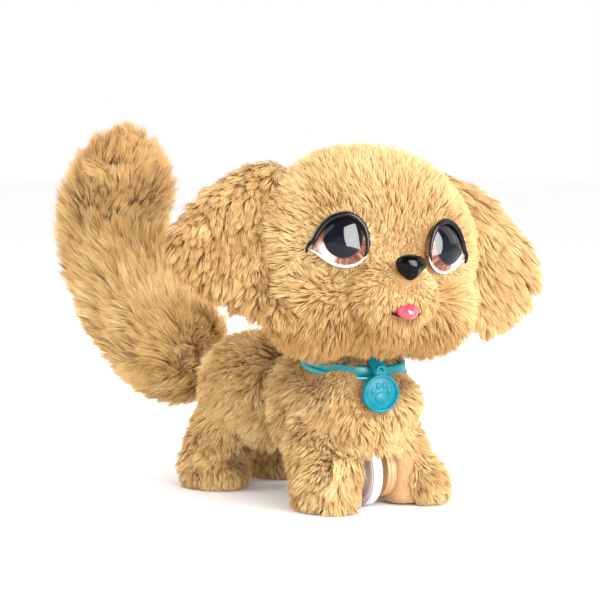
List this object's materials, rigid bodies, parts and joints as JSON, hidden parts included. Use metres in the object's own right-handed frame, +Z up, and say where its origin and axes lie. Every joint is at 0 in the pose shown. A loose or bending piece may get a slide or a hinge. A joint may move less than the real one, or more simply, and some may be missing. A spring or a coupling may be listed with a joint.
{
  "type": "interactive plush pet",
  "caption": "Plush golden puppy on a drive wheel, with a swaying rear half, wagging tail, turning head, glossy eyes and a collar with a round tag.",
  "frame": {"origin": "On the floor, under the middle of the toy's bounding box at rest", "axes": "+Z up; the front half faces -Y; +X to the dog's left"},
  "size_m": [0.2216, 0.2934, 0.2013],
  "materials": {
    "fur": "long soft pile, golden, combed back",
    "velour": "short tan pile",
    "stuffing": "polyester fibre",
    "black_gloss": "high gloss black",
    "eye": "clear domed lens over a printed brown iris",
    "pink": "glossy pink",
    "teal": "satin turquoise",
    "white_plastic": "glossy white",
    "tread": "soft white",
    "grey_plastic": "moulded grey",
    "tan_plastic": "moulded tan, the colour of the velour",
    "nylon": "natural nylon",
    "steel": "plated steel",
    "board": "green solder mask",
    "speaker_black": "black cone and frame",
    "cell": "plain dark sleeve"
  },
  "bodies": {
    "front": {"chest_plush": "fur", "front_leg_left_plush": "fur", "front_leg_right_plush": "fur", "front_sole_left": "velour", "front_sole_right": "velour", "drive_housing_left": "tan_plastic", "drive_housing_right": "tan_plastic", "drive_motor": "steel", "circuit_board": "board", "speaker": "speaker_black", "neck_post": "grey_plastic", "switch_plate": "grey_plastic", "waist_fork": "grey_plastic", "waist_pin": "steel", "collar_band": "teal", "collar_piping": "teal", "collar_loop": "teal"},
    "wheel": {"wheel_rim": "white_plastic", "wheel_tread": "tread", "wheel_axle": "steel", "axle_gear": "nylon"},
    "idler": {"idler_gear": "nylon"},
    "pinion": {"motor_pinion": "nylon"},
    "tag": {"tag_disc": "teal"},
    "switch": {"power_slider": "black_gloss"},
    "rear": {"haunch_plush": "fur", "hind_leg_left_plush": "fur", "hind_leg_right_plush": "fur", "hind_sole_left": "velour", "hind_sole_right": "velour", "waist_gusset_left": "fur", "waist_gusset_right": "fur", "waist_knuckle": "grey_plastic", "rear_housing": "grey_plastic", "battery_tray": "grey_plastic", "battery_cell_1": "cell", "battery_cell_2": "cell", "battery_cell_3": "cell", "battery_door": "grey_plastic", "battery_door_screw": "steel", "tail_bracket": "grey_plastic"},
    "button": {"back_button": "white_plastic"},
    "tail": {"tail_spine": "nylon", "tail_plush": "fur"},
    "head": {"head_plush": "fur", "head_stuffing": "stuffing", "ear_left": "fur", "ear_right": "fur", "eye_socket_left": "black_gloss", "eye_socket_right": "black_gloss", "eye_lens_left": "eye", "eye_lens_right": "eye", "nose": "black_gloss", "tongue": "pink"}
  },
  "joints": [
    {"name": "wheel_spin", "type": "hinge", "parent": "front", "child": "wheel", "pos_m": [0.0003, -0.08455, 0.018], "axis": [1, 0, 0], "continuous": true},
    {"name": "idler_spin", "type": "hinge", "parent": "front", "child": "idler", "pos_m": [0.0003, -0.08455, 0.03515], "axis": [1, 0, 0], "continuous": true},
    {"name": "motor_spin", "type": "hinge", "parent": "front", "child": "pinion", "pos_m": [0.0003, -0.07655, 0.0443], "axis": [1, 0, 0], "continuous": true},
    {"name": "waist_sway", "type": "hinge", "parent": "front", "child": "rear", "pos_m": [0.0003, -0.03855, 0.049], "axis": [0, 0, 1], "range_deg": [-46, 2]},
    {"name": "tail_wag", "type": "hinge", "parent": "rear", "child": "tail", "pos_m": [-0.03023, 0.03701, 0.064], "axis": [0, 0, 1], "range_deg": [-25, 25]},
    {"name": "neck_turn", "type": "hinge", "parent": "front", "child": "head", "pos_m": [0.0003, -0.06755, 0.0815], "axis": [0, 0, 1], "range_deg": [-7, 21]},
    {"name": "tag_swing", "type": "hinge", "parent": "front", "child": "tag", "pos_m": [-0.00428, -0.10487, 0.0756], "axis": [0.9925, -0.1219, 0], "range_deg": [-60, 1]},
    {"name": "back_press", "type": "slide", "parent": "rear", "child": "button", "axis": [0, 0, -1], "range_m": [0, 0.0018], "stiffness_N_per_m": 250, "springref_m": -0.001},
    {"name": "power_switch", "type": "slide", "parent": "front", "child": "switch", "axis": [1, 0, 0], "range_m": [0, 0.003]}
  ],
  "couplings": [
    {"joint": "idler_spin", "follows": "wheel_spin", "ratio": -2.4},
    {"joint": "motor_spin", "follows": "wheel_spin", "ratio": 4.8}
  ]
}
